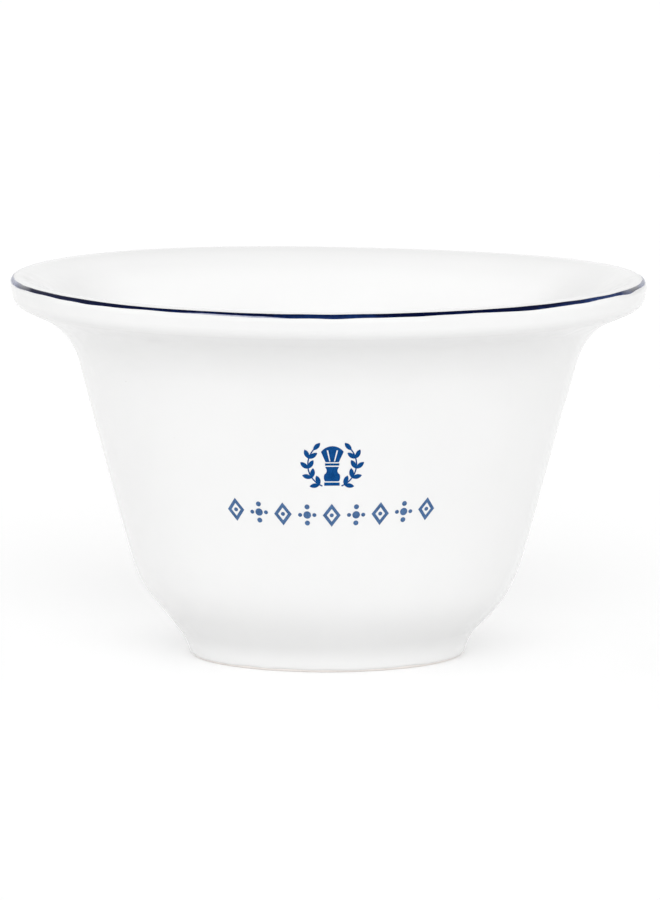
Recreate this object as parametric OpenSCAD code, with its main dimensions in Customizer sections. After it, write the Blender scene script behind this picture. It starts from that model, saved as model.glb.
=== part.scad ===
// Footed porcelain shaving bowl with a rolled lip, a painted rim line and two printed motifs.
// Millimetres, +Z up, origin at the middle of the foot on the surface it stands on.
// The front, where the prints are, faces -Y.

/* [Overall size] */
// Outside diameter of the glazed lip
rim_d = 127; // [123:0.5:136]
// Overall height to the glazed crest of the lip
bowl_h = 75.5; // [68:0.5:84]
// Diameter of the glazed wall at half the height
waist_d = 88; // [84:0.2:92]
// Diameter that the foot stands on, over its outside edge
foot_d = 54; // [50:0.2:58]

/* [Wall and floor] */
// Thickness of the fired wall
wall_t = 4; // [3:0.1:5]
// Lean of the wall from the vertical, in degrees
wall_lean = 15; // [12:0.5:17]
// Outside radius of the turn from wall to foot
belly_r = 34; // [24:0.5:38]
// Radius of the turn from wall to floor inside
basin_r = 21; // [16:0.5:24]
// Thickness of the floor over the hollow of the foot
floor_t = 4; // [3:0.1:6]

/* [Lip] */
// Height of the lip's outer face, corner to corner
lip_h = 4.1; // [3.6:0.1:5]
// Width of the flat crest, corner to corner
crest_w = 2.6; // [2.5:0.1:3.2]
// Lean of the lip's underside and of its top from the vertical, in degrees
lip_lean = 65; // [62:0.5:68]
// Lean of the lip's outer face from the vertical, in degrees
face_lean = 13; // [4:0.5:16]
// Radius of the hollow under the lip
flare_r = 14.5; // [12:0.5:16]
// Radius of the swell from the lip down to the wall inside
mouth_r = 20; // [15:0.5:22]
// Rounding of the lip's lower edge
edge_r = 2.7; // [1.5:0.1:3]
// Rounding of the lip's upper outer edge
crest_r = 1.4; // [0.8:0.1:1.5]

/* [Foot] */
// Height of the foot's outer face up to the cove
foot_h = 4; // [3.6:0.1:5]
// Lean of the foot's outer face from the vertical, in degrees
foot_lean = 18; // [14:1:24]
// Lean of the neck between cove and belly from the vertical, in degrees
neck_lean = 42.5; // [40:0.5:46]
// Radius of the cove above the foot
cove_r = 12; // [6:0.5:13]
// Width of the ring that the bowl stands on
ring_w = 4; // [3:0.1:6]
// Depth of the hollow inside the foot
well_h = 2.5; // [1.5:0.1:3.5]

/* [Glaze and decoration] */
// Thickness of the glaze
glaze_t = 0.25; // [0.2:0.01:0.4]
// Height at which the glaze stops above the standing surface
bare_h = 0.4; // [0.4:0.1:1.4]
// Thickness of the painted line and of the prints
ink_t = 0.08; // [0.05:0.01:0.12]
// Height of the painted line on the lip's outer face and rounding
line_h = 1; // [0.6:0.1:2]
// Distance of the painted line's upper edge in from the rim
line_in = 0.75; // [0.5:0.05:1]
// Height of the emblem's centre
emblem_z = 43.6; // [42:0.2:46]
// Height of the ornamental row's centre
row_z = 33.5; // [31:0.1:34]
// Number of marks in the ornamental row
row_count = 9; // [5:2:11]
// Turn around the bowl from one mark to the next, in degrees
row_pitch = 6.4; // [6:0.1:7]
// Rise of the row's end marks above its middle
row_lift = 0.7; // [0:0.1:1.5]

/* [Hidden] */
$fn = 180;

porcelain = "#f4f3ef";
glaze = "#fbfbfa";
bare_glaze = "#f6f6f3";
cobalt = "#0e1f52";
emblem_blue = "#0d4a8f";
row_blue = "#41659c";

// Rounding where the ring meets the foot's outer face and where it meets the hollow
heel_r = 0.5;
// Rounding between the hollow's side and its ceiling
well_r = 1.6;
// Lean of the hollow's side from the vertical
well_lean = 12;
// Rounding from the crest down into the mouth
brow_r = 2.5;
// Largest turn between two neighbouring points of a rounding
turn_step = 4;
// How far a cutter reaches past what it cuts
over = 5;

// A unit vector along a line that leans outwards by some angle from the vertical, going up.
function along(lean) = [sin(lean), cos(lean)];
// The point where two leaning lines meet.
function meet(p, lean_p, q, lean_q) =
    let (u = along(lean_p), v = along(lean_q), w = q - p)
    p + u * (w.x * v.y - w.y * v.x) / (u.x * v.y - u.y * v.x);
// The right-hand normal of the stretch from one corner to the next.
function normal(a, b) = let (d = (b - a) / norm(b - a)) [d.y, -d.x];

// Corners are [radius from the axis, height, rounding], listed with the fired clay on the left.
// Walking up the outside and down the inside, a left turn is a convex edge.
function at(c) = [c.x, c.y];
function left_turn(a, b, c) = (b.x - a.x) * (c.y - b.y) - (b.y - a.y) * (c.x - b.x) > 0;

// The corners moved outwards by a thickness, with each rounding made to follow.
function grown(corners, by) = [
    for (i = [0 : len(corners) - 1])
        let (b = at(corners[i]),
             a = i > 0 ? at(corners[i - 1]) : b,
             c = i < len(corners) - 1 ? at(corners[i + 1]) : b,
             m = i > 0 ? normal(a, b) : normal(b, c),
             n = i < len(corners) - 1 ? normal(b, c) : m,
             shift = (m + n) * by / (1 + m * n),
             r = corners[i].z,
             new_r = r == 0 ? 0 : left_turn(a, b, c) ? r + by : r - by)
            [b.x + shift.x, b.y + shift.y, new_r]];

// The points of one rounded corner between its neighbours.
function corner_arc(a, b, c, r) =
    let (m = normal(a, b),
         n = normal(b, c),
         side = left_turn(a, b, c) ? 1 : -1,
         centre = b - side * r * (m + n) / (1 + m * n),
         start = atan2(m.y, m.x),
         turn = side * acos(m * n),
         steps = ceil(abs(turn) / turn_step))
    [for (k = [0 : steps])
        let (angle = start + turn * k / steps)
            centre + side * r * [cos(angle), sin(angle)]];

// The whole outline of a list of corners.
function outline(corners) = [
    for (i = [0 : len(corners) - 1])
        let (b = at(corners[i]))
            each corners[i].z == 0 ? [b]
                : corner_arc(at(corners[i - 1]), b, at(corners[i + 1]), corners[i].z)];
function reversed(list) = [for (i = [len(list) - 1 : -1 : 0]) list[i]];

// Where the clay's straight stretches run
crest_z = bowl_h - glaze_t;
clay_r = rim_d / 2 - glaze_t;
crest_corner = [clay_r + crest_r * (tan(face_lean) + 1 / cos(face_lean) - 1), crest_z];
brow_corner = crest_corner - [crest_w, 0];
edge_corner = crest_corner - [lip_h * tan(face_lean), lip_h];
wall_mid = [waist_d / 2 - glaze_t / cos(wall_lean), bowl_h / 2];
inner_mid = wall_mid - [wall_t / cos(wall_lean), 0];
foot_corner = [foot_d / 2, 0];
cove_corner = foot_corner + [foot_h * tan(foot_lean), foot_h];
belly_corner = meet(cove_corner, neck_lean, wall_mid, wall_lean);
flare_corner = meet(wall_mid, wall_lean, edge_corner, lip_lean);
mouth_corner = meet(brow_corner, lip_lean, inner_mid, wall_lean);
floor_z = well_h + floor_t;
basin_corner = meet(inner_mid, wall_lean, [0, floor_z], 90);
glaze_stop = foot_corner + [bare_h * tan(foot_lean), bare_h];
ring_corner = [foot_d / 2 - ring_w, 0];
well_corner = [ring_corner.x - well_h * tan(well_lean), well_h];

function rounded(p, r) = [p.x, p.y, r];
// From the cove up the outside, over the lip and down the inside to the middle of the floor
upper = [
    rounded(cove_corner, cove_r),
    rounded(belly_corner, belly_r),
    rounded(flare_corner, flare_r),
    rounded(edge_corner, edge_r),
    rounded(crest_corner, crest_r),
    rounded(brow_corner, brow_r),
    rounded(mouth_corner, mouth_r),
    rounded(basin_corner, basin_r),
    [0, floor_z, 0]];
// From the middle of the hollow out to the foot's outer face
under = [
    [0, well_h, 0],
    rounded(well_corner, well_r),
    rounded(ring_corner, heel_r),
    rounded(foot_corner, heel_r)];
coated = concat([rounded(glaze_stop, 0)], upper);

// The section of a coat on the glazed surface, from one height above the clay to another.
module coat_section(from, to) {
    polygon(concat(outline(grown(coated, to)), reversed(outline(grown(coated, from)))));
}

// A skin of ink on the straight part of the wall, as tall as the prints need.
module wall_ink(low, high) {
    base = wall_mid + along(wall_lean) * (low - wall_mid.y) / cos(wall_lean);
    tall = high - low;
    spread = tall * tan(wall_lean);
    inner = base.x + glaze_t / cos(wall_lean);
    outer = inner + ink_t / cos(wall_lean);
    translate([0, 0, low])
        difference() {
            cylinder(h = tall, r1 = outer, r2 = outer + spread);
            translate([0, 0, -over])
                cylinder(h = tall + 2 * over,
                         r1 = inner - over * tan(wall_lean),
                         r2 = inner + spread + over * tan(wall_lean));
        }
}

// Stands a flat motif upright at a height and throws it at the front of the wall.
module thrown(turn, height) {
    rotate([0, 0, turn])
        translate([0, 0, height])
            rotate([90, 0, 0])
                linear_extrude(rim_d / 2)
                    children();
}

// A leaf from the origin along +X
module leaf(length, width) {
    r = (length * length + width * width) / (4 * width);
    intersection() {
        translate([length / 2, r - width / 2])
            circle(r);
        translate([length / 2, width / 2 - r])
            circle(r);
    }
}

// A shaving brush seen from the side: fan of hair, band and turned handle
module brush_motif() {
    // Hair, with two partings
    difference() {
        intersection() {
            polygon([[-1.3, 0.75], [1.3, 0.75], [3, 4.6], [-3, 4.6]]);
            translate([0, 1.3])
                circle(2.7);
        }
        for (side = [-1, 1])
            polygon([[side * 0.34, 0.9], [side * 0.56, 0.9], [side * 1.12, 3.15], [side * 0.82, 3.15]]);
    }
    // Band
    translate([-1.4, 0.05])
        square([2.8, 0.45]);
    // Handle
    difference() {
        union() {
            translate([-1.3, -1.6])
                square([2.6, 1.4]);
            translate([0, -2.3])
                circle(1.6);
            translate([-1.5, -4.05])
                square([3, 0.65]);
        }
        for (side = [-1, 1])
            translate([side * 1.9, -1])
                circle(0.85);
        translate([-1.8, -3.4])
            square([3.6, 0.24]);
    }
}

// A spray of leaves that curves up one side of the brush
module spray_motif() {
    bend = 4.75;
    leaf_l = 2;
    leaf_w = 0.92;
    stem_w = 0.26;
    translate([0, 0.25]) {
        // Pairs of leaves
        for (turn = [-60 : 25 : 15], side = [-1, 1])
            rotate(turn)
                translate([bend, 0])
                    rotate(90 + side * 40)
                        leaf(leaf_l, leaf_w);
        // Leaf at the tip
        rotate(38)
            translate([bend, 0])
                rotate(94)
                    leaf(leaf_l, leaf_w);
        // Stem
        intersection() {
            difference() {
                circle(bend + stem_w / 2);
                circle(bend - stem_w / 2);
            }
            polygon([[0, 0], 8 * [cos(-67), sin(-67)], [8, 0], 8 * [cos(41), sin(41)]]);
        }
    }
}

// An open lozenge with a bead in it
module lozenge_motif() {
    difference() {
        polygon([[0, -2.35], [1.75, 0], [0, 2.35], [-1.75, 0]]);
        polygon([[0, -1.3], [0.97, 0], [0, 1.3], [-0.97, 0]]);
    }
    circle(0.4);
}

// A bead with one above, one below and a smaller one at each side
module bead_motif() {
    circle(0.75);
    for (side = [-1, 1]) {
        translate([0, side * 1.65])
            circle(0.5);
        translate([side * 1.4, 0])
            circle(0.4);
    }
}

module porcelain_body() {
    color(porcelain)
        rotate_extrude()
            polygon(outline(concat(under, upper)));
}

module glaze_coat() {
    color(glaze)
        rotate_extrude()
            coat_section(0, glaze_t);
}

// The glaze on the ceiling of the foot's hollow, apart from the rest because the ring is bare
module foot_well_glaze() {
    color(bare_glaze)
        translate([0, 0, well_h - glaze_t])
            cylinder(h = glaze_t, r = well_corner.x - well_r);
}

module rim_line() {
    color(cobalt)
        rotate_extrude()
            intersection() {
                coat_section(glaze_t, glaze_t + ink_t);
                translate([rim_d / 2 - line_in, bowl_h - line_h])
                    square([over, line_h + over]);
            }
}

module emblem_print() {
    reach = 5;
    color(emblem_blue)
        intersection() {
            wall_ink(emblem_z - reach, emblem_z + reach);
            union() {
                thrown(0, emblem_z)
                    brush_motif();
                thrown(0, emblem_z)
                    spray_motif();
                thrown(0, emblem_z)
                    mirror([1, 0])
                        spray_motif();
            }
        }
}

module ornament_print() {
    reach = 3 + row_lift;
    middle = (row_count - 1) / 2;
    color(row_blue)
        intersection() {
            wall_ink(row_z - reach, row_z + reach);
            for (i = [0 : row_count - 1])
                thrown((i - middle) * row_pitch, row_z + row_lift * pow((i - middle) / middle, 2))
                    if (i % 2 == 0) lozenge_motif();
                    else bead_motif();
        }
}

porcelain_body();
glaze_coat();
foot_well_glaze();
rim_line();
emblem_print();
ornament_print();
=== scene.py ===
"""A footed porcelain shaving bowl with a painted rim line and two fired-on prints, on white.

Metres, +Z up, origin at the middle of the foot. The printed front faces -Y. Overall sizes
come from the CAD frame; the turned outline is written out below, as the CAD model has it.
"""

import math

import bmesh
import bpy
import numpy as np
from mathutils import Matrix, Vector


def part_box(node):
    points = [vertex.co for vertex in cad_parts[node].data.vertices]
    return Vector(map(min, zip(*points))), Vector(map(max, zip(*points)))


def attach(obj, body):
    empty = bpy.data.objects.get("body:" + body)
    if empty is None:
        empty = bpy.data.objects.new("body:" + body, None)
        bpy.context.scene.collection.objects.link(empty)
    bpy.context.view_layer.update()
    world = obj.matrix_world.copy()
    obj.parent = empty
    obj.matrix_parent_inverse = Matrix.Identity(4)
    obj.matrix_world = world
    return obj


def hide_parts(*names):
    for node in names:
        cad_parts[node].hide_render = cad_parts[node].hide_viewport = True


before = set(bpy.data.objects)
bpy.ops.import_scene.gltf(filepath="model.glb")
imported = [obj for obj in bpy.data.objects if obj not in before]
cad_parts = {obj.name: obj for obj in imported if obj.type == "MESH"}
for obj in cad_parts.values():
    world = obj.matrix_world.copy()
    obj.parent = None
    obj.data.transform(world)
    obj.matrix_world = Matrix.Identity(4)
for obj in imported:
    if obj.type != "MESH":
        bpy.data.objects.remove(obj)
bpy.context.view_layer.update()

MM = 0.001


# ---------------------------------------------------------------------------------------------
# Sizes
# ---------------------------------------------------------------------------------------------

clay_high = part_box("porcelain_body")[1]
glaze_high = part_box("glaze_coat")[1]
well_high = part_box("foot_well_glaze")[1]
line_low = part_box("rim_line")[0]

BOWL_H = glaze_high.z
RIM_R = glaze_high.x
GLAZE_T = glaze_high.z - clay_high.z
WELL_TOP = well_high.z
WELL_GLAZE_R = well_high.x
LINE_H = BOWL_H - line_low.z

# The turned outline of the clay, as the CAD model has it. Leans are from the vertical, in
# degrees. WAIST_R and FOOT_R are distances from the axis; each other _R down to WELL_R is
# how much the corner of that name is rounded.
WAIST_R = 44 * MM       # the glazed wall, halfway up
FOOT_R = 27 * MM        # outer edge of the ring that the bowl stands on
WALL_T = 4 * MM
WALL_LEAN = 15
BELLY_R = 34 * MM
BASIN_R = 21 * MM
FLOOR_T = 4 * MM
LIP_H = 4.1 * MM        # height of the lip's outer face
CREST_W = 2.6 * MM      # width of the lip's top, from corner to corner
LIP_LEAN = 65
FACE_LEAN = 13
FLARE_R = 14.5 * MM
MOUTH_R = 20 * MM
EDGE_R = 2.7 * MM
CREST_R = 1.4 * MM
BROW_R = 2.5 * MM
FOOT_H = 4 * MM
FOOT_LEAN = 18
NECK_LEAN = 42.5
COVE_R = 12 * MM
RING_W = 4 * MM
HEEL_R = 0.5 * MM
WELL_R = 1.6 * MM
WELL_LEAN = 12
BARE_H = 0.4 * MM       # height of the bare clay under the glaze's edge
LINE_IN = 0.75 * MM     # how far the painted line reaches in from the rim's edge

# How far the fired bowl strays from a true turned form
RIM_LIFT = 0.33 * MM    # the lip, upwards, all round
RIM_WAVES = [(1, 0.34 * MM, -93), (2, 0.36 * MM, 74),       # waves per turn, height, angle of
             (3, 0.06 * MM, -23), (4, 0.06 * MM, 31)]       # the first crest
RIM_SHIFT = 0.34 * MM   # the rim, to the right
CREST_BACK = 0.14 * MM  # the part of that shift that the crest didn't make
LIP_SAG = 0.2 * MM      # the lip's lower edge, downwards on average round the bowl
LIP_SAG_AT = 65         # where that sag is twice the average; opposite, it is nothing
BELLY_SHIFT = 0.4 * MM  # the belly, to the right
FULLER = 0.07 * MM      # the whole wall, outwards
BELLY_FULLER = 0.2 * MM     # the wall just above the belly, outwards as well
SWELL = 0.04 * MM       # the wall's uneven swelling

# Glaze and colour as they lie
BEAD_W = 0.7 * MM       # how soon the glaze is at its full thickness, from its edge
BEAD_T = 0.02 * MM      # how much thicker it is just past that
LINE_T = 0.05 * MM
PRINT_T = 0.04 * MM

# Stretches of the painted line, (middle, half length, size), in degrees round from the front:
# where the brush ran thin, where it left a pale wash along the lower edge, and where the
# whole line is paler. The paler stretches at -91 and 90, the rim's two ends, are painted
# glare; the others are the brush's own. LINE_RUN is how far the colour ran down in the fire
LINE_RUN = 0.1 * MM
THIN_LINE = [(-29, 8, 0.16 * MM), (-31, 15, 0.12 * MM), (-9, 4, 0.08 * MM), (16, 12, 0.16 * MM),
             (27, 8, 0.08 * MM), (46, 4, 0.17 * MM), (59, 5, 0.3 * MM), (74, 3, 0.14 * MM),
             (82, 8, 0.18 * MM), (-68, 6, 0.2 * MM), (-56, 6, 0.14 * MM), (112, 14, 0.22 * MM),
             (-151, 12, 0.25 * MM)]
WASHED_LINE = [(-18, 7, 0.3), (171, 10, 0.3)]
PALE_AND_GLARE_LINE = [(1, 8, 0.15), (46, 4, 0.1), (62, 9, 0.28), (-91, 13, 0.56), (90, 13, 0.52),
             (-120, 14, 0.2), (140, 12, 0.25)]
LINE_LOAD = 0.92        # how full of colour the line is elsewhere
WASH_LOAD = 0.14        # and how full a pale wash is

# Points round the bowl in each mesh
CLAY_AROUND = 192
GLAZE_AROUND = 288
WELL_AROUND = 160
LINE_AROUND = 720


# ---------------------------------------------------------------------------------------------
# The turned outline
# ---------------------------------------------------------------------------------------------

def along(lean):
    """Unit vector up a line that leans outwards from the vertical."""
    return np.array([math.sin(math.radians(lean)), math.cos(math.radians(lean))])


def meet(p, lean_p, q, lean_q):
    """Where two leaning lines cross."""
    u, v, w = along(lean_p), along(lean_q), q - p
    return p + u * (w[0] * v[1] - w[1] * v[0]) / (u[0] * v[1] - u[1] * v[0])


def right_of(a, b):
    """Right-hand normal of the stretch from a to b."""
    d = (b - a) / np.linalg.norm(b - a)
    return np.array([d[1], -d[0]])


def rounded_corner(a, b, c, radius, turn=2.0):
    """Points and normals of the arc that rounds corner b between its neighbours."""
    m, n = right_of(a, b), right_of(b, c)
    side = 1 if m[0] * n[1] - m[1] * n[0] > 0 else -1
    centre = b - side * radius * (m + n) / (1 + m @ n)
    swing = side * math.acos(max(-1.0, min(1.0, m @ n)))
    steps = max(2, math.ceil(math.degrees(abs(swing)) / turn))
    angles = math.atan2(m[1], m[0]) + swing * np.linspace(0, 1, steps + 1)
    facing = np.stack([np.cos(angles), np.sin(angles)], 1)
    return centre + side * radius * facing, facing


class Outline:
    """A path of straight stretches and tangent arcs, by its length from the start.

    corners are (point, rounding radius), with the first and last not rounded.
    The normals point to the right of the walk.
    """

    def __init__(self, corners):
        spots = [c[0] for c in corners]
        points = [spots[0][None]]
        normals = [right_of(spots[0], spots[1])[None]]
        for i in range(1, len(corners) - 1):
            arc, facing = rounded_corner(spots[i - 1], spots[i], spots[i + 1], corners[i][1])
            points.append(arc)
            normals.append(facing)
        points.append(spots[-1][None])
        normals.append(right_of(spots[-2], spots[-1])[None])
        self.points = np.concatenate(points)
        self.normals = np.concatenate(normals)
        steps = np.linalg.norm(np.diff(self.points, axis=0), axis=1)
        self.s = np.concatenate([[0], np.cumsum(steps)])
        self.length = self.s[-1]

    def at(self, s):
        """Points and unit normals at these lengths."""
        p = np.stack([np.interp(s, self.s, self.points[:, k]) for k in (0, 1)], -1)
        n = np.stack([np.interp(s, self.s, self.normals[:, k]) for k in (0, 1)], -1)
        return p, n / np.linalg.norm(n, axis=-1, keepdims=True)

    def stations(self, spacing):
        """Lengths at every point of every arc, and no further apart than the spacing."""
        found = [self.s[0]]
        for a, b in zip(self.s, self.s[1:]):
            count = max(1, math.ceil((b - a) / spacing))
            found += [a + (b - a) * k / count for k in range(1, count + 1)]
        return np.array(found)


CREST = np.array([
    RIM_R - GLAZE_T + CREST_R * (math.tan(math.radians(FACE_LEAN))
                                 + 1 / math.cos(math.radians(FACE_LEAN)) - 1),
    BOWL_H - GLAZE_T])
BROW = CREST - [CREST_W, 0]
EDGE = CREST - [LIP_H * math.tan(math.radians(FACE_LEAN)), LIP_H]
WALL_MID = np.array([WAIST_R - GLAZE_T / math.cos(math.radians(WALL_LEAN)), BOWL_H / 2])
INNER_MID = WALL_MID - [WALL_T / math.cos(math.radians(WALL_LEAN)), 0]
FOOT = np.array([FOOT_R, 0])
COVE = FOOT + [FOOT_H * math.tan(math.radians(FOOT_LEAN)), FOOT_H]
BELLY = meet(COVE, NECK_LEAN, WALL_MID, WALL_LEAN)
FLARE = meet(WALL_MID, WALL_LEAN, EDGE, LIP_LEAN)
MOUTH = meet(BROW, LIP_LEAN, INNER_MID, WALL_LEAN)
FLOOR_Z = WELL_TOP + FLOOR_T
BASIN = meet(INNER_MID, WALL_LEAN, np.array([0, FLOOR_Z]), 90)
GLAZE_STOP = FOOT + [BARE_H * math.tan(math.radians(FOOT_LEAN)), BARE_H]
RING = FOOT - [RING_W, 0]
WELL = np.array([RING[0] - WELL_TOP * math.tan(math.radians(WELL_LEAN)), WELL_TOP])

UPPER = [(COVE, COVE_R), (BELLY, BELLY_R), (FLARE, FLARE_R), (EDGE, EDGE_R), (CREST, CREST_R),
         (BROW, BROW_R), (MOUTH, MOUTH_R), (BASIN, BASIN_R), (np.array([0, FLOOR_Z]), 0)]
UNDER = [(np.array([0, WELL_TOP]), 0), (WELL, WELL_R), (RING, HEEL_R), (FOOT, HEEL_R)]

clay_outline = Outline(UNDER + UPPER)
coated = Outline([(GLAZE_STOP, 0)] + UPPER)


# ---------------------------------------------------------------------------------------------
# From the outline to the fired bowl
# ---------------------------------------------------------------------------------------------

def smooth(x, low, high):
    """0 below low, 1 above high, with an easy turn at both ends."""
    t = np.clip((x - low) / (high - low), 0, 1)
    return t * t * (3 - 2 * t)


def band(x, start, full, fading, gone):
    """1 between full and fading, 0 before start and after gone."""
    return smooth(x, start, full) * (1 - smooth(x, fading, gone))


def waves(angle, seed, lowest, highest, amplitude):
    """A closed wavy line round the bowl: a seeded sum of sines that repeats after a turn."""
    draw = np.random.default_rng(seed)
    total = np.zeros_like(angle)
    for count in range(lowest, highest + 1):
        size = draw.normal() / math.sqrt(count)
        total += size * np.sin(count * angle + draw.uniform(0, 2 * math.pi))
    return amplitude * total


def settled(r, z, angle):
    """The fired place of a turned point: the rim has moved and the wall isn't quite round."""
    edge_z = BOWL_H - LIP_H
    lip = smooth(z, edge_z - 1.4 * MM, BOWL_H - 0.6 * MM)
    lip_edge = band(z, edge_z - 6 * MM, edge_z - 0.5 * MM, edge_z + 0.5 * MM, BOWL_H - 0.5 * MM)
    upper_half = smooth(z, 0.5 * BOWL_H, BOWL_H)
    crest = smooth(z, BOWL_H - 2.5 * MM, BOWL_H - 0.3 * MM)
    body = smooth(z, 0.1 * BOWL_H, 0.35 * BOWL_H) * smooth(r, 0.2 * RIM_R, 0.5 * RIM_R)
    outside = smooth(r, 0.35 * RIM_R, 0.45 * RIM_R)
    belly = band(z, 5 * MM, 9 * MM, 10 * MM, 17 * MM) * outside
    above_belly = band(z, 8.5 * MM, 12.5 * MM, 14.5 * MM, 20 * MM) * outside

    lift = RIM_LIFT + sum(height * np.cos(count * (angle - math.radians(first)))
                          for count, height, first in RIM_WAVES)
    sag = LIP_SAG * (1 + np.cos(angle - math.radians(LIP_SAG_AT)))
    swell = SWELL * (np.sin(3 * angle + 90 * z + 0.6) + 0.7 * np.sin(5 * angle - 140 * z + 2.1)
                     + 0.5 * np.sin(2 * angle + 210 * z + 4.0))
    out = r + (FULLER + swell) * body + BELLY_FULLER * above_belly
    aside = RIM_SHIFT * upper_half + BELLY_SHIFT * belly - CREST_BACK * crest
    return np.stack([out * np.sin(angle) + aside, -out * np.cos(angle),
                     z + lift * lip - sag * lip_edge], -1)


def spells(angle, stretches, fade=math.radians(5)):
    """The sizes of these stretches round the bowl, with soft ends."""
    total = np.zeros_like(angle)
    for middle, half, size in stretches:
        off = np.abs((angle - math.radians(middle) + math.pi) % (2 * math.pi) - math.pi)
        total += size * (1 - smooth(off, math.radians(half) - fade / 2, math.radians(half) + fade))
    return total


def stop_line(angle):
    """How far the glaze's edge wanders up and down the foot."""
    return waves(angle, 3, 2, 24, 0.05 * MM)


def glaze_height(s, angle):
    """Thickness of the glaze: nothing at its edge, a bead beside it, full further up."""
    rise = np.clip(s / BEAD_W, 0, 1)
    edge = np.sqrt(np.clip(1 - (1 - rise) ** 2, 0, 1))
    bead = BEAD_T * np.exp(-((s - 1.6 * BEAD_W) / (1.2 * BEAD_W)) ** 2)
    return edge * (GLAZE_T + bead)


def coat_point(s, angle, above):
    """The place at length s of the coated outline, some height above the glaze's surface.

    A height of None gives the clay under the glaze.
    """
    s, angle = np.broadcast_arrays(s, angle)
    near_stop = 1 - smooth(s, 0, 3 * MM)
    spot, facing = coated.at(s)
    drift = stop_line(angle) * near_stop
    spot = spot + drift[..., None] * along(FOOT_LEAN)
    height = 0 if above is None else glaze_height(s, angle) + above
    spot = spot + facing * np.broadcast_to(height, s.shape)[..., None]
    return settled(spot[..., 0], spot[..., 1], angle)


# ---------------------------------------------------------------------------------------------
# Meshes
# ---------------------------------------------------------------------------------------------

def closed_surface(name, rings, wrap=False, mark=None, values=None):
    """A mesh through rings of points round the axis, [ring, point, 3].

    A ring on the axis becomes one point. wrap joins the last ring to the first. values is an
    optional number for each point, [ring, point], kept as the mesh attribute called mark.
    """
    mesh = bpy.data.meshes.new(name)
    bm = bmesh.new()
    layer = bm.verts.layers.float.new(mark) if mark else None
    rows = []
    for k, ring in enumerate(rings):
        if np.ptp(ring, axis=0).max() < 1e-6:
            ring = ring[:1]
        rows.append([bm.verts.new(p) for p in ring])
        if mark:
            for vert, value in zip(rows[-1], values[k]):
                vert[layer] = value
    pairs = list(zip(rows, rows[1:])) + ([(rows[-1], rows[0])] if wrap else [])
    for low, high in pairs:
        count = max(len(low), len(high))
        if count == 1:
            continue
        for j in range(count):
            i = (j + 1) % count
            corners = [low[j % len(low)], low[i % len(low)],
                       high[i % len(high)], high[j % len(high)]]
            bm.faces.new(dict.fromkeys(corners))
    bmesh.ops.recalc_face_normals(bm, faces=bm.faces)
    for face in bm.faces:
        face.smooth = True
    bm.to_mesh(mesh)
    bm.free()
    piece = bpy.data.objects.new(name, mesh)
    bpy.context.scene.collection.objects.link(piece)
    return piece


def angles(count):
    """Evenly spaced angles, once round the bowl."""
    return np.linspace(0, 2 * math.pi, count, endpoint=False)


def make_clay():
    """The fired clay, bare at the ring that the bowl stands on."""
    s = clay_outline.stations(2.5 * MM)
    spot, _ = clay_outline.at(s)
    turn = angles(CLAY_AROUND)
    rings = settled(spot[:, None, 0], spot[:, None, 1], turn[None, :])
    return closed_surface("fired_clay", rings)


def painted_inside_light(s, turn, crest):
    """Painted light on the glaze, by length and angle: 0 outside, 1 inside, where the glaze is
    painted lighter, and less at the two ends of the rim, where that is painted shade.

    crest is the length at the top of the lip. In front the change is sudden there.
    """
    front = smooth(np.cos(turn), 0.1, 0.7)
    inside = (0.6 * smooth(s, crest - 1.8 * MM * front, crest + (5 - 3.8 * front) * MM)
              + 0.4 * smooth(s, crest + 4 * MM, crest + 12 * MM))
    # painted shade: the inside is darker towards the two ends of the rim, left and right
    ends = 0.5 * smooth(-np.sin(turn), 0.75, 0.99) + smooth(np.sin(turn), 0.8, 0.99)
    return inside * (1 - ends * (1 - smooth(s, crest + 8 * MM, crest + 26 * MM)))


def make_glaze():
    """The glaze as a closed skin: its surface, then the clay's surface back underneath."""
    turn = angles(GLAZE_AROUND)
    bead = np.linspace(0, 2.5 * BEAD_W, 14)
    s = coated.stations(1.4 * MM)
    s = np.concatenate([bead, s[s > bead[-1] + 0.2 * MM]])
    back = coated.stations(4 * MM)[::-1][:-1:2]
    outer = coat_point(s[:, None], turn[None, :], 0)
    inner = coat_point(back[:, None], turn[None, :], None)
    crest = s[np.argmax(coated.at(s)[0][:, 1])]
    values = painted_inside_light(np.concatenate([s, back])[:, None], turn, crest)
    return closed_surface("glaze_skin", np.concatenate([outer, inner]), True, "inside", values)


def make_well_glaze():
    """The glaze on the ceiling of the foot's hollow, thin and rounded at its edge."""
    turn = angles(WELL_AROUND)
    edge = BEAD_W * (1 - np.cos(np.linspace(0, math.pi / 2, 8)))
    reach = np.concatenate([WELL_GLAZE_R - edge, np.linspace(0.9, 0, 12) * WELL_GLAZE_R])
    rise = np.clip((WELL_GLAZE_R - reach) / BEAD_W, 0, 1)
    depth = GLAZE_T * np.sqrt(np.clip(1 - (1 - rise) ** 2, 0, 1))
    r = np.concatenate([[0], reach])
    z = np.concatenate([[WELL_TOP], WELL_TOP - depth])
    wander = 1 + waves(turn, 8, 2, 14, 0.003)
    rings = np.stack([r[:, None] * np.sin(turn) * wander, -r[:, None] * np.cos(turn) * wander,
                      np.broadcast_to(z[:, None], (len(z), len(turn)))], -1)
    return closed_surface("well_glaze", rings)


def line_edges(turn):
    """Where the painted line begins and ends along the coated outline, by angle."""
    fine = np.linspace(0, coated.length, 20000)
    spot, facing = coated.at(fine)
    top = spot + facing * GLAZE_T
    before_crest = fine < fine[np.argmax(top[:, 1])]
    low = fine[before_crest & (top[:, 1] < BOWL_H - LINE_H)].max()
    outer = before_crest | (top[:, 0] > RIM_R - 1.5 * LINE_IN)
    high = fine[outer & (top[:, 0] > RIM_R - LINE_IN)].max()
    return (low - LINE_RUN + spells(turn, THIN_LINE) + waves(turn, 11, 5, 60, 0.022 * MM),
            high + waves(turn, 12, 3, 50, 0.03 * MM))


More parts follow.
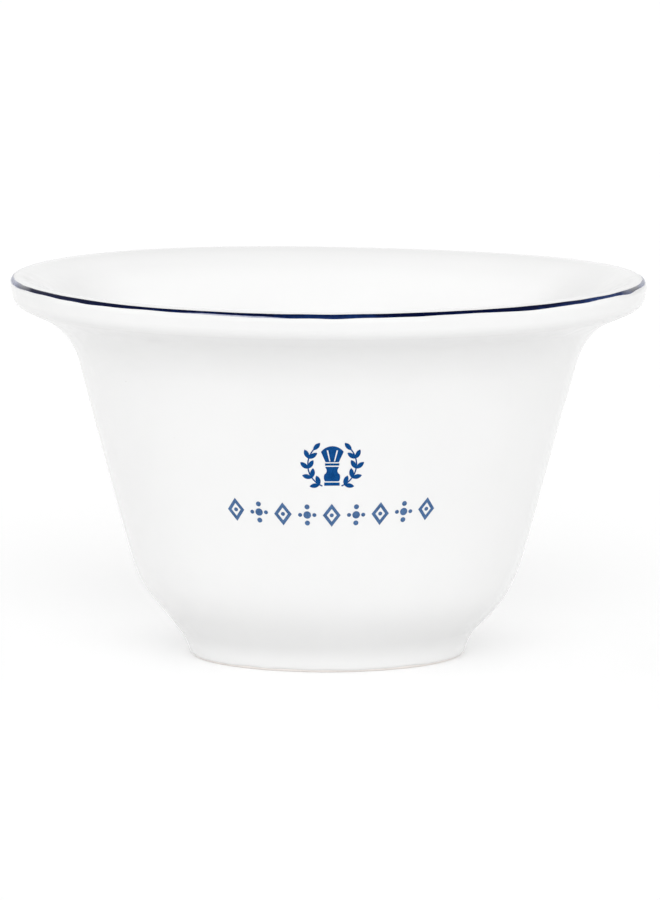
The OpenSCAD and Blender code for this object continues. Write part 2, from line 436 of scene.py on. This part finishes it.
def make_rim_line():
    """The painted line: a lens of colour on the glaze, thicker where the brush was fuller."""
    turn = angles(LINE_AROUND)
    low, high = line_edges(turn)
    across = np.linspace(0, 1, 17)
    s = low + (high - low) * across[:, None]
    wash = spells(turn, WASHED_LINE)
    # painted glare: the paler stretches at the rim's two ends, left and right, stand for glare and
    # not for paler colour
    load_and_glare = LINE_LOAD - spells(turn, PALE_AND_GLARE_LINE) + waves(turn, 13, 3, 60, 0.04)
    dense = smooth(across[:, None], wash - 0.1, wash + 0.06)
    lower_edge_paler = 0.86 + 0.14 * smooth(across, 0.1, 0.5)
    values = (WASH_LOAD + (load_and_glare - WASH_LOAD) * dense) * lower_edge_paler[:, None]
    body = np.sqrt(np.clip(1 - (2 * across - 1) ** 4, 0, 1))[:, None] * np.clip(load_and_glare, 0.4, 1.1)
    outer = coat_point(s, turn[None, :], LINE_T * body)
    inner = coat_point(s[1:-1][::-1], turn[None, :], 0)
    values = np.concatenate([values, values[1:-1][::-1]])
    return closed_surface("rim_line_colour", np.concatenate([outer, inner]), True,
                          "ink_and_glare", values)


def make_print(node, name, longest=0.5 * MM):
    """A CAD print laid on the fired glaze, thinned to the height of fired colour."""
    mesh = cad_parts[node].data.copy()
    mesh.name = name
    mesh.materials.clear()
    bm = bmesh.new()
    bm.from_mesh(mesh)
    bmesh.ops.remove_doubles(bm, verts=bm.verts, dist=1e-7)
    most_cuts = 6
    for _ in range(most_cuts):
        long_edges = [e for e in bm.edges if e.calc_length() > longest]
        if not long_edges:
            break
        bmesh.ops.subdivide_edges(bm, edges=long_edges, cuts=1)
        bmesh.ops.triangulate(bm, faces=[f for f in bm.faces if len(f.verts) > 3])
    spots = np.array([v.co for v in bm.verts])
    turn = np.arctan2(spots[:, 0], -spots[:, 1])
    flat = np.stack([np.hypot(spots[:, 0], spots[:, 1]), spots[:, 2]], -1)
    up, out = along(WALL_LEAN), right_of(np.zeros(2), along(WALL_LEAN))
    above = (flat - WALL_MID) @ out - GLAZE_T
    # lengths are counted from the end of the wall's straight stretch that is nearest to
    # WALL_MID: the outline's point for which the distance to it, mostly outwards, is least
    off = coated.points - WALL_MID
    start = coated.s[np.argmin(np.abs(off @ up) + 10 * np.abs(off @ out))]
    s = start + (flat - coated.at(start)[0]) @ up
    placed = coat_point(s, turn, above * PRINT_T / above.max())
    for vert, p in zip(bm.verts, placed):
        vert.co = p
    for face in bm.faces:
        face.smooth = False
    bm.to_mesh(mesh)
    bm.free()
    piece = bpy.data.objects.new(name, mesh)
    bpy.context.scene.collection.objects.link(piece)
    return piece


# ---------------------------------------------------------------------------------------------
# Materials
# ---------------------------------------------------------------------------------------------

class Shader:
    """A node material, built a node at a time."""

    def __init__(self, name):
        self.material = bpy.data.materials.new(name)
        self.material.use_nodes = True
        self.tree = self.material.node_tree
        self.tree.nodes.clear()
        self.place = self.add("TexCoord").outputs["Object"]

    def add(self, kind, settings=None, **inputs):
        node = self.tree.nodes.new("ShaderNode" + kind)
        for key, value in (settings or {}).items():
            setattr(node, key, value)
        for key, value in inputs.items():
            self.feed(node.inputs[key.replace("_", " ")], value)
        return node

    def feed(self, socket, value):
        """A link from another node's output, or a plain value."""
        if isinstance(value, bpy.types.NodeSocket):
            self.tree.links.new(value, socket)
        else:
            socket.default_value = value

    def maths(self, operation, a, b):
        node = self.add("Math", {"operation": operation})
        self.feed(node.inputs[0], a)
        self.feed(node.inputs[1], b)
        return node.outputs[0]

    def noise(self, scale, detail=2.0):
        return self.add("TexNoise", Vector=self.place, Scale=scale, Detail=detail).outputs["Fac"]

    def range(self, value, low, high, to_low, to_high):
        """to_low where the value is low or less, to_high where it is high or more."""
        node = self.add("MapRange", {"interpolation_type": "SMOOTHSTEP"}, Value=value)
        for socket, number in zip(list(node.inputs)[1:5], (low, high, to_low, to_high)):
            socket.default_value = number
        return node.outputs["Result"]

    def ramp(self, factor, stops):
        """A colour ramp through these (position, colour) stops."""
        node = self.add("ValToRGB", Fac=factor)
        elements = node.color_ramp.elements
        while len(elements) < len(stops):
            elements.new(0.5)
        for element, (where, colour) in zip(elements, stops):
            element.position = where
            element.color = (*colour, 1)
        return node.outputs["Color"]

    def blend(self, factor, a, b):
        node = self.add("Mix", {"data_type": "RGBA"})
        self.feed(node.inputs[0], factor)
        self.feed(node.inputs[6], a)
        self.feed(node.inputs[7], b)
        return node.outputs[2]

    def height(self):
        return self.add("SeparateXYZ", Vector=self.place).outputs["Z"]

    def bump(self, height, distance, normal=None):
        node = self.add("Bump", Strength=1.0, Distance=distance, Height=height)
        if normal is not None:
            self.feed(node.inputs["Normal"], normal)
        return node.outputs["Normal"]

    def finish(self, colour, roughness, normal, **settings):
        shader = self.add("BsdfPrincipled", Base_Color=colour, Roughness=roughness, Normal=normal,
                          **settings)
        output = self.add("OutputMaterial")
        self.tree.links.new(shader.outputs[0], output.inputs["Surface"])
        return self.material


CERAMIC_IOR = 1.5
GLAZE_WHITE = (0.765, 0.765, 0.763, 1)
# the inside's white is lighter than the glaze's own white: painted light
INSIDE_LIT_WHITE = (0.878, 0.878, 0.876, 1)
SPECK_BROWN = (0.33, 0.27, 0.2, 1)
CLAY_COLOURS = [(0.3, (0.78, 0.742, 0.715)), (0.7, (0.81, 0.77, 0.74))]
# grey for the very bottom of the foot: partly scuffs, partly a painted contact shadow
SCUFF_AND_SHADE_GREY = (0.42, 0.39, 0.36, 1)
# from a pale wash to a full brush; the paler stops also give the painted glare at the rim's two
# ends
LINE_COLOURS = [(0.1, (0.44, 0.45, 0.54)), (0.36, (0.13, 0.155, 0.28)),
                (0.58, (0.006, 0.024, 0.11)), (0.86, (0.0005, 0.0025, 0.024))]
# where the print is full, and where it is thin
EMBLEM_COLOURS = [(0.4, (0.0005, 0.042, 0.165)), (0.58, (0.004, 0.066, 0.235))]
ROW_COLOURS = [(0.4, (0.046, 0.098, 0.215)), (0.58, (0.075, 0.15, 0.3))]
# Specular levels of the painted line, where 0.5 is plain glass: on most of it, on the parts
# that face up, and at its two ends
LINE_SHINE = 0.03
LINE_TOP_SHINE = 1.6
LINE_END_SHINE = 3.0


def glaze_material(name):
    """Clear glaze on white porcelain: clouded a little, with a few specks, painted lighter inside
    the bowl and darker towards the rim's two ends, and with painted shade in the cove above the
    foot.
    """
    mat = Shader(name)
    inside = mat.add("Attribute", {"attribute_name": "inside"}).outputs["Fac"]
    cloud_and_shade = mat.range(mat.noise(45, 3), 0.3, 0.7, 0.988, 1.0)
    # painted shade in the cove above the foot, between about 2 and 16 mm up
    painted_cove_shade = mat.maths("MULTIPLY", mat.range(mat.height(), 7 * MM, 16 * MM, 0.062, 0.0),
                     mat.range(mat.height(), 1.8 * MM, 5.2 * MM, 0.0, 1.0))
    cloud_and_shade = mat.maths("SUBTRACT", cloud_and_shade, painted_cove_shade)
    # painted light: the glaze is lighter inside the bowl, and darker again towards the rim's two
    # ends as painted shade
    base = mat.blend(inside, GLAZE_WHITE, INSIDE_LIT_WHITE)
    tinted = mat.add("VectorMath", {"operation": "SCALE"}, Vector=base, Scale=cloud_and_shade).outputs[0]
    speck = mat.add("TexVoronoi", Vector=mat.place, Scale=100.0).outputs["Distance"]
    speckled = mat.blend(mat.range(speck, 0.006, 0.014, 0.55, 0.0), tinted, SPECK_BROWN)
    gloss = mat.range(mat.noise(160, 4), 0.3, 0.7, 0.15, 0.23)
    peel = mat.bump(mat.noise(420, 2), 0.012 * MM)
    pit = mat.add("TexVoronoi", Vector=mat.place, Scale=160.0).outputs["Distance"]
    pitted = mat.bump(mat.range(pit, 0.0, 0.03, 0.0, 1.0), 0.02 * MM, peel)
    return mat.finish(speckled, gloss, pitted, IOR=CERAMIC_IOR, Specular_IOR_Level=0.2)


def clay_material():
    """Bare fired porcelain: warm white, matt, finely grained, grey where it stands, partly scuffs
    and partly a painted contact shadow.
    """
    mat = Shader("bare_fired_clay")
    grain = mat.noise(2600, 3)
    colour = mat.ramp(mat.noise(220, 5), CLAY_COLOURS)
    # grey below 0.15 mm: partly scuffs, partly a painted contact shadow
    scuff_and_contact_shade = mat.maths("MULTIPLY", mat.range(mat.height(), 0.0, 0.15 * MM, 0.5, 0.0),
                      mat.range(mat.noise(900, 4), 0.4, 0.65, 0.0, 1.0))
    colour = mat.blend(scuff_and_contact_shade, colour, SCUFF_AND_SHADE_GREY)
    rough = mat.range(grain, 0.3, 0.7, 0.62, 0.85)
    return mat.finish(colour, rough, mat.bump(grain, 0.03 * MM), IOR=CERAMIC_IOR)


def line_material():
    """Cobalt under glaze: nearly black where the brush was full, blue where it thins, and paler as
    painted glare at the rim's two ends.
    """
    mat = Shader("cobalt_line_colour")
    # this attribute also carries the painted glare at the rim's two ends
    load_and_glare = mat.add("Attribute", {"attribute_name": "ink_and_glare"}).outputs["Fac"]
    uneven = mat.maths("ADD", load_and_glare, mat.range(mat.noise(900, 4), 0.25, 0.75, -0.07, 0.07))
    colour = mat.ramp(uneven, LINE_COLOURS)
    gloss = mat.range(mat.noise(700, 3), 0.3, 0.7, 0.12, 0.2)
    up = mat.add("SeparateXYZ", Vector=mat.add("NewGeometry").outputs["Normal"]).outputs["Z"]
    across = mat.add("SeparateXYZ", Vector=mat.place).outputs["X"]
    top = mat.range(up, 0.84, 0.96, LINE_SHINE, LINE_TOP_SHINE)
    left = mat.range(across, -0.965 * RIM_R, -0.925 * RIM_R, LINE_END_SHINE, LINE_SHINE)
    right = mat.range(across, 0.9 * RIM_R, 0.975 * RIM_R, LINE_SHINE, LINE_END_SHINE)
    shine = mat.maths("MAXIMUM", top, mat.maths("MAXIMUM", left, right))
    return mat.finish(colour, gloss, mat.bump(mat.noise(1500, 2), 0.01 * MM), IOR=CERAMIC_IOR,
                      Specular_IOR_Level=shine)


def ink_material(name, colours):
    """Printed colour fired into the glaze, slightly grainy and with next to no shine."""
    mat = Shader(name)
    grain = mat.maths("ADD", mat.maths("MULTIPLY", mat.noise(5200, 2), 0.6),
                      mat.maths("MULTIPLY", mat.noise(900, 3), 0.4))
    colour = mat.ramp(grain, colours)
    rough = mat.range(grain, 0.35, 0.65, 0.3, 0.44)
    return mat.finish(colour, rough, mat.bump(grain, 0.01 * MM), IOR=CERAMIC_IOR,
                      Specular_IOR_Level=0.05)


# ---------------------------------------------------------------------------------------------
# The pieces
# ---------------------------------------------------------------------------------------------

def dress(piece, material, node):
    """A piece takes its material, rides on the bowl's one body and stands for a CAD node."""
    piece.data.materials.append(material)
    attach(piece, "root")
    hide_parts(node)


dress(make_clay(), clay_material(), "porcelain_body")
dress(make_glaze(), glaze_material("white_glaze_coat"), "glaze_coat")
dress(make_well_glaze(), glaze_material("white_glaze_well"), "foot_well_glaze")
dress(make_rim_line(), line_material(), "rim_line")
dress(make_print("emblem_print", "emblem_colour"),
      ink_material("emblem_ink_colour", EMBLEM_COLOURS), "emblem_print")
dress(make_print("ornament_print", "ornament_colour"),
      ink_material("row_ink_colour", ROW_COLOURS), "ornament_print")


# ---------------------------------------------------------------------------------------------
# The studio
# ---------------------------------------------------------------------------------------------

FLOOR_W = 28.0
FLOOR_GLOW = 0.12
CAMERA_AWAY = 1.662     # level distance from the bowl's axis
CAMERA_UP = 0.2531
CAMERA_TURN = math.radians(-1.2)
AIM_UP = 0.0409
AIM_RIGHT = 0.00056
SENSOR = 36.0           # the sensor and the focal length are in millimetres
FOCAL_LENGTH = 334.4


def make_floor():
    """A wide white floor."""
    mesh = bpy.data.meshes.new("floor")
    half = FLOOR_W / 2
    mesh.from_pydata([(-half, -half, 0), (half, -half, 0), (half, half, 0), (-half, half, 0)],
                     [], [(0, 1, 2, 3)])
    floor = bpy.data.objects.new("floor", mesh)
    bpy.context.scene.collection.objects.link(floor)
    mat = Shader("floor_paper")
    colour = mat.ramp(mat.noise(3, 2), [(0.3, (0.87, 0.87, 0.87)), (0.7, (0.88, 0.88, 0.88))])
    rough = mat.range(mat.noise(40, 2), 0.3, 0.7, 0.85, 0.95)
    mesh.materials.append(mat.finish(colour, rough, mat.bump(mat.noise(300, 2), 0.01 * MM),
                                     Emission_Color=(1, 1, 1, 1), Emission_Strength=FLOOR_GLOW,
                                     Specular_IOR_Level=0.2))


# The panels of the light tent: degrees round from the front (to the right), degrees up, how
# sharp their edges are, strength
PANELS = [(0, 20, 8, 3.1), (0, 45, 8, 0.65), (-95, 15, 8, 2.08), (95, 15, 8, 2.05),
          (-95, 50, 8, 0.28), (95, 50, 8, 0.25), (-140, 25, 8, 0.37), (140, 25, 8, 0.3),
          (180, 20, 8, 0.7), (180, 55, 8, 0.5), (180, 13, 20, 0.25)]
TENT_GLOW = 0.18


def make_tent():
    """Soft white light from panels all round, each brightest in its middle."""
    world = bpy.data.worlds.new("tent")
    world.use_nodes = True
    nodes, links = world.node_tree.nodes, world.node_tree.links
    place = nodes.new("ShaderNodeTexCoord").outputs["Generated"]
    total = nodes.new("ShaderNodeValue").outputs[0]
    total.default_value = TENT_GLOW
    for around, up, sharpness, strength in PANELS:
        around, up = math.radians(around), math.radians(up)
        facing = nodes.new("ShaderNodeVectorMath")
        facing.operation = "DOT_PRODUCT"
        facing.inputs[1].default_value = (math.sin(around) * math.cos(up),
                                          -math.cos(around) * math.cos(up), math.sin(up))
        links.new(place, facing.inputs[0])
        light = facing.outputs["Value"]
        for operation, number in (("MAXIMUM", 0.0), ("POWER", sharpness), ("MULTIPLY", strength)):
            step = nodes.new("ShaderNodeMath")
            step.operation = operation
            step.inputs[1].default_value = number
            links.new(light, step.inputs[0])
            light = step.outputs[0]
        step = nodes.new("ShaderNodeMath")
        links.new(total, step.inputs[0])
        links.new(light, step.inputs[1])
        total = step.outputs[0]
    links.new(total, nodes["Background"].inputs["Strength"])
    nodes["Background"].inputs["Color"].default_value = (1, 1, 1, 1)
    bpy.context.scene.world = world


def make_camera():
    """The camera stands in front, a little to the left, and looks down at the bowl."""
    lens = bpy.data.cameras.new("camera")
    lens.sensor_width = SENSOR
    lens.lens = FOCAL_LENGTH
    lens.clip_start, lens.clip_end = 0.05, 60
    camera = bpy.data.objects.new("camera", lens)
    side = Vector((math.cos(CAMERA_TURN), math.sin(CAMERA_TURN), 0))
    back = Vector((math.sin(CAMERA_TURN), -math.cos(CAMERA_TURN), 0))
    aim = Vector((0, 0, AIM_UP)) + side * AIM_RIGHT
    camera.location = back * CAMERA_AWAY + Vector((0, 0, CAMERA_UP)) + side * AIM_RIGHT
    camera.rotation_mode = "QUATERNION"
    camera.rotation_quaternion = (aim - camera.location).to_track_quat("-Z", "Y")
    bpy.context.scene.collection.objects.link(camera)
    bpy.context.scene.camera = camera


make_floor()
make_tent()
make_camera()
bpy.context.scene.view_settings.view_transform = "Standard"
